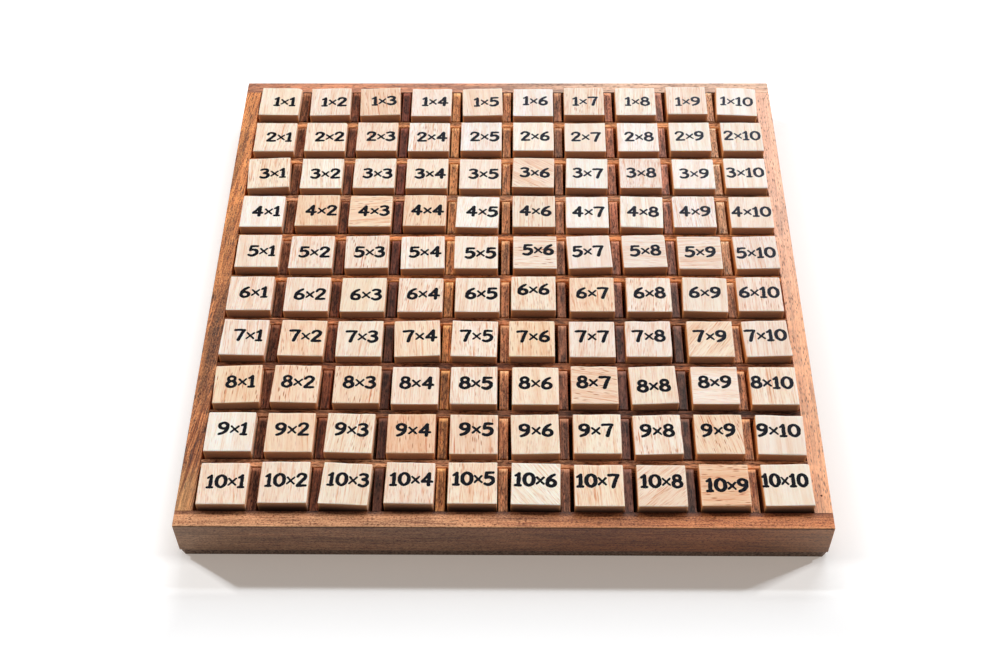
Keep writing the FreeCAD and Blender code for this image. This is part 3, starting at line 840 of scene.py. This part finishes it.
def ink_field(figures, weight, squeeze, seed):
    """How far each grid point lies outside the sum's ink (minus: inside)."""
    widths = [STROKES[figure][0] * squeeze for figure in figures]
    gaps = [TEN_GAP if pair == "10" else FIGURE_GAP
            for pair in map("".join, zip(figures, figures[1:]))] + [0.0]
    total = sum(widths) + sum(gaps)
    across = np.arange(-INK_MARGIN, total + INK_MARGIN, INK_GRID)
    up = np.arange(-INK_MARGIN, 1 + INK_MARGIN, INK_GRID)
    grid = np.stack(np.meshgrid(across, up), axis=-1)
    field = np.full(grid.shape[:2], 9.0)
    pen = 0.0
    for figure, width, gap in zip(figures, widths, gaps):
        for kind, points in STROKES[figure][1]:
            for x, y, wide in curve_points(kind, points):
                away = np.hypot(grid[..., 0] - pen - x * squeeze, grid[..., 1] - y)
                field = np.minimum(field, away - wide * weight / 2)
        pen += width + gap
    flat = np.column_stack([grid.reshape(-1, 2), np.zeros(grid.size // 2)])
    ragged = smooth_noise(flat, seed, RAG_LENGTH).reshape(field.shape)
    return field + RAG_DEPTH * ragged, across - total / 2, up - 0.5


# Which sides of a grid cell the outline crosses, by which corners are inked
CROSSED = {
    1: ((3, 0),), 2: ((0, 1),), 3: ((3, 1),), 4: ((1, 2),), 5: ((3, 0), (1, 2)),
    6: ((0, 2),), 7: ((3, 2),), 8: ((2, 3),), 9: ((0, 2),), 10: ((0, 1), (2, 3)),
    11: ((1, 2),), 12: ((1, 3),), 13: ((0, 1),), 14: ((3, 0),),
}


def outlines(field, across, up):
    """The closed outlines round the inked area of a field."""
    inked = field < 0
    code = (inked[:-1, :-1] * 1 + inked[:-1, 1:] * 2 + inked[1:, 1:] * 4 + inked[1:, :-1] * 8)
    partners = {}
    for row, column in zip(*np.nonzero((code > 0) & (code < 15))):
        sides = (("level", row, column), ("upright", row, column + 1),
                 ("level", row + 1, column), ("upright", row, column))
        for first, second in CROSSED[int(code[row, column])]:
            partners.setdefault(sides[first], []).append(sides[second])
            partners.setdefault(sides[second], []).append(sides[first])

    def crossing(side):
        way, row, column = side
        next_row, next_column = (row, column + 1) if way == "level" else (row + 1, column)
        here, there = field[row, column], field[next_row, next_column]
        share = here / (here - there)
        return (across[column] + share * (across[next_column] - across[column]),
                up[row] + share * (up[next_row] - up[row]))

    loops = []
    while partners:
        start = next(iter(partners))
        loop, last, here = [], None, start
        while here in partners:
            loop.append(crossing(here))
            onward = partners.pop(here)
            last, here = here, onward[0] if onward[0] != last else onward[1]
        loops.append(loop)
    return loops


def print_sum(curve, tile, centre, turn):
    """Draws row x column on a tile as filled outlines in the curve."""
    row, column = tile
    figures = f"{row}x{column}"
    weight = HEAVY_WEIGHT if tile in HEAVY_PRINTS else PRINT_WEIGHT
    # Towards the right back and the left front corner the prints are thinner.
    weight -= 0.3 * max(0.0, (column - row) / PER_SIDE - 0.25)
    weight -= 0.12 * max(0.0, (row - column) / PER_SIDE - 0.3)
    draw = random.Random(5000 + 100 * row + column)
    tens = (row == PER_SIDE, column == PER_SIDE)
    squeeze = FIGURE_STRETCH * {
        (False, False): 1.0, (True, False): TEN_TIMES_SQUEEZE,
        (False, True): TIMES_TEN_SQUEEZE, (True, True): TWO_TENS_SQUEEZE,
    }[tens]
    drift_x = PRINT_RIGHT[column - 1] + FIRST_SHIFT[0] + RIGHT_BY_ROW * (row - 1)
    drift_y = PRINT_BACK[row - 1] + FIRST_SHIFT[1] + BACK_BY_COLUMN * (column - 1)
    stray = STRAY_PRINTS.get(tile, (draw.uniform(-0.25, 0.25), draw.uniform(-0.2, 0.2)))
    middle = Vector((drift_x + stray[0], drift_y + stray[1]))
    tilt = turn + math.radians(draw.uniform(-1.0, 1.0))
    cosine, sine = math.cos(tilt), math.sin(tilt)
    field, across, up = ink_field(figures, weight, squeeze, seed=100 * row + column)
    for loop in outlines(field, across, up):
        spline = curve.splines.new("POLY")
        spline.points.add(len(loop) - 1)
        flat = []
        for x, y in loop:
            right = x * FIGURE_HEIGHT_MM + middle.x
            back = y * FIGURE_HEIGHT_MM + middle.y
            flat += [centre[0] + (right * cosine - back * sine) * MM,
                     centre[1] + (right * sine + back * cosine) * MM, 0.0, 1.0]
        spline.points.foreach_set("co", flat)
        spline.use_cyclic_u = True


def make_prints(tiles, material):
    """The printed sums, one piece for each tile row: a skin of ink just proud
    of the tiles' tops."""
    for row in range(1, PER_SIDE + 1):
        name = f"printed_sums_{row:02d}"
        curve = bpy.data.curves.new(name, "CURVE")
        curve.dimensions = "2D"
        curve.fill_mode = "BOTH"
        curve.extrude = INK_DEPTH / 2
        for column in range(1, PER_SIDE + 1):
            print_sum(curve, (row, column), *tiles[row, column])
        holder = put("ink_outlines", curve)
        holder.location.z = TILE_TOP + INK_PROUD - INK_DEPTH / 2
        graph = bpy.context.evaluated_depsgraph_get()
        mesh = bpy.data.meshes.new_from_object(holder.evaluated_get(graph))
        mesh.transform(holder.matrix_world)
        bpy.data.objects.remove(holder)
        mesh.materials.append(material)
        piece = put(name, mesh)
        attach(piece, "root")


# The tray keeps the frame's solids and gets its woods

def dress(node, material):
    """Gives one of the frame's own pieces its material."""
    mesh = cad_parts[node].data
    mesh.materials.clear()
    mesh.materials.append(material)


# The strips' colours: each strip's left and right ends, from the back
ROW_STRIP_COLOURS = (("#ee9f68", "#ee9f68"), ("#ee9d66", "#ee9d66"), ("#cf9068", "#cf9068"),
                     ("#ec9259", "#ec9259"), ("#d07f4c", "#dc8752"), ("#b36f48", "#98603e"),
                     ("#965b3b", "#9c5f3d"), ("#96603f", "#6f4633"), ("#c88a62", "#c4825a"))
# Each strip's back and front ends, from the left. The paler back ends are
# partly the wood and partly painted sheen of the light behind.
COLUMN_STRIP_COLOURS = (("#89583d", "#724834"), ("#804e36", "#75442e"), ("#764334", "#5a3729"),
                        ("#f8af72", "#ca8851"), ("#d99665", "#c4855a"), ("#ac7756", "#966449"),
                        ("#cd8461", "#6c4537"), ("#b57960", "#684536"), ("#ffc493", "#c8865a"))


def dress_tray():
    """The rails, the strips and the base in their woods."""
    sawn = {"roughness": 0.6, "grit": 1.0, "pore_depth": 0.95, "streak_depth": 1.0}
    dress("front_rail", hardwood("oiled_hardwood_front", True, ("#d8986c", "#c6794a"), 1,
                                 grit=1.0, fleck_length=1.0, contrast=0.7, pore_depth=0.5,
                                 pore_share=0.35))
    # The back rail's paler right end is painted sheen of the light behind.
    dress("back_rail", hardwood("oiled_hardwood_back", True, ("#cb8056", "#d2a688"), 2, shine=0.5))
    dress("left_rail", hardwood("oiled_hardwood_left", False, ("#f29a56", "#c87f4c"), 3,
                                streak_turn=6, grit=1.0, streak_depth=1.0, contrast=1.3,
                                fleck_length=1.3, pore_depth=1.0, pore_share=0.75,
                                pore_stretch=2.0))
    # The right rail's pale colour is partly the wood and partly painted sheen.
    dress("right_rail", hardwood("oiled_hardwood_right", False, ("#f8b68f", "#f8ad79"), 4,
                                 shine=0.7, grit=0.4, streak_depth=0.5, contrast=0.7))
    for number, (node, ends) in enumerate(zip(ROW_STRIPS, ROW_STRIP_COLOURS)):
        low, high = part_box(node)
        dress(node, hardwood(f"sawn_{node}", True, ends, 10 + number, shine=0.2,
                             strip_line=(low.y + high.y) / 2, **sawn))
    for number, (node, ends) in enumerate(zip(COLUMN_STRIPS, COLUMN_STRIP_COLOURS)):
        low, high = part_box(node)
        dress(node, hardwood(f"sawn_{node}", False, ends, 30 + number,
                             shine=0.1 + 0.04 * number, strip_line=(low.x + high.x) / 2, **sawn))
    dress("base_board", stained_plywood())


# Studio

# The paper, cool, and its warm glow near the board, whose warm tint paints
# bounced light into the board's shadow; and how much more it glows far off
PAPER = "#d7dee4"
PAPER_GLOW = "#8f8276"
FAR_GLOW = 0.45
# From here on, what has no millimetres is in metres.
FLOOR_REACH = 6.0
# The floor is at its plainest round this place. It starts to glow at the first
# distance from it and is white at the second, to the sides and lengthways.
FLOOR_MIDDLE = (5 * MM, -25 * MM)
SIDEWAYS_GLOW = (147 * MM, 192 * MM)
LENGTHWAYS_GLOW = (155 * MM, 215 * MM)

# The plain shadow in front of the board narrows away from it. Its front edge,
# and how far its left and right ends move inward for each step in front.
SHADOW_FRONT = -168.5 * MM
SHADOW_SLANTS = (1.47, 1.85)
# Painted light: how much glow is added to the paper past the shadow's left
# end, its right end and its front edge
PAINTED_PAST_LIGHT = (0.27, 0.21, 0.11)


def painted_light_past_shadow(tree, right, back):
    """Painted light on the paper past the ends and the front edge of the plain
    shadow in front of the board: the glow added there.
    """
    board_low, board_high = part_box("front_rail")
    # The distance in front of the board
    forward = ramp(tree, back, board_low.y, board_low.y - 0.1, top=0.1)
    shares = []
    for side, slant, glow in zip((-1, 1), SHADOW_SLANTS, PAINTED_PAST_LIGHT):
        outward = calc(tree, "MULTIPLY", right, side)
        past = calc(tree, "ADD", outward, calc(tree, "MULTIPLY", forward, slant))
        shares.append(ramp(tree, past, board_high.x - 3 * MM, board_high.x + 3 * MM, top=glow))
    beside = ramp(tree, back, board_low.y, board_low.y - 6 * MM, top=0.75)
    ends = scaled(tree, calc(tree, "MAXIMUM", *shares), calc(tree, "ADD", beside, 0.25))
    ends = scaled(tree, ends, ramp(tree, back, SHADOW_FRONT - 7 * MM, SHADOW_FRONT))
    front = ramp(tree, back, SHADOW_FRONT + 2 * MM, SHADOW_FRONT - 2 * MM, top=PAINTED_PAST_LIGHT[2])
    front = scaled(tree, front, ramp(tree, back, SHADOW_FRONT - 30 * MM, SHADOW_FRONT - 6 * MM))
    return calc(tree, "MAXIMUM", ends, front)


def make_floor():
    """A white paper floor. The camera sees an added warm glow on it, also in
    shiny and through clear things, which grows away from the board until the
    paper is plain white. The paper near the board keeps the board's shadow; the
    glow paints light past its ends and front edge, and its warm tint paints
    bounced light into it."""
    material, tree, shader = new_material("white_paper_floor")
    set_finish(shader, {
        "Base Color": colour(PAPER), "Roughness": 1.0, "Specular IOR Level": 0.0,
    })
    right, back, _ = axes(tree, own_place(tree))
    shares = []
    for place, middle, (near, far) in ((right, FLOOR_MIDDLE[0], SIDEWAYS_GLOW),
                                       (back, FLOOR_MIDDLE[1], LENGTHWAYS_GLOW)):
        distance = calc(tree, "ABSOLUTE", calc(tree, "SUBTRACT", place, middle))
        shares.append(ramp(tree, distance, near, far, easing="SMOOTHSTEP"))
    away = scaled(tree, calc(tree, "MAXIMUM", *shares), FAR_GLOW)
    # Painted light past the board's shadow joins the glow
    growing = calc(tree, "ADD", away, painted_light_past_shadow(tree, right, back))
    glow = blend(tree, "ADD", 1.0, colour(PAPER_GLOW), growing)
    rays = add(tree, "ShaderNodeLightPath").outputs
    seen = calc(tree, "MAXIMUM", rays["Is Camera Ray"], rays["Is Glossy Ray"])
    seen = calc(tree, "MAXIMUM", seen, rays["Is Transmission Ray"])
    tree.links.new(glow, shader.inputs["Emission Color"])
    tree.links.new(seen, shader.inputs["Emission Strength"])
    corners = [(side * FLOOR_REACH, end * FLOOR_REACH, 0)
               for side, end in ((-1, -1), (1, -1), (1, 1), (-1, 1))]
    make_mesh("floor", corners, [(0, 1, 2, 3)], material, smooth=False)


# Lamps: name, width and height, place, and watts. All look at the board.
LAMPS = (
    ("lamp_back_left", (0.16, 0.16), (-3.20, 1.72, 2.60), 81),
    ("lamp_back_right", (0.16, 0.16), (3.66, 1.45, 2.14), 87),
    ("window_behind", (2.36, 1.41), (0.60, 2.52, 2.36), 75),
)
ROOM_LIGHT = 0.2


def make_lights():
    """Two lamps stand behind the board, to its left and right, and a broad
    window straight behind. The white room fills from the front."""
    for name, (width, height), place, watts in LAMPS:
        lamp = bpy.data.lights.new(name, "AREA")
        lamp.shape = "RECTANGLE"
        lamp.size = width
        lamp.size_y = height
        lamp.energy = watts
        holder = put(name, lamp)
        holder.location = place
        holder.rotation_euler = (-Vector(place)).to_track_quat("-Z", "Y").to_euler()
    world = bpy.data.worlds.new("white_room")
    world.use_nodes = True
    background = world.node_tree.nodes["Background"]
    set_finish(background, {"Color": WHITE, "Strength": ROOM_LIGHT})
    bpy.context.scene.world = world


LENS_MM = 53.67
SENSOR_MM = 36.0
CAMERA_PLACE = (0.0077, -0.5084, 0.6039)
CAMERA_TURN = (0.6831, 0.0090, 0.0102)


def make_camera():
    """The photograph's view, fitted to the board's own corners."""
    camera = bpy.data.cameras.new("camera")
    camera.sensor_width = SENSOR_MM
    camera.lens = LENS_MM
    holder = put("camera", camera)
    holder.location = CAMERA_PLACE
    holder.rotation_euler = CAMERA_TURN
    bpy.context.scene.camera = holder


def main():
    """Builds the looks round the frame, and the studio."""
    tiles, side = read_tiles()
    make_tiles(tiles, side, rubberwood())
    make_prints(tiles, printing_ink())
    dress_tray()
    make_floor()
    make_lights()
    make_camera()
    bpy.context.scene.view_settings.view_transform = "Standard"


main()
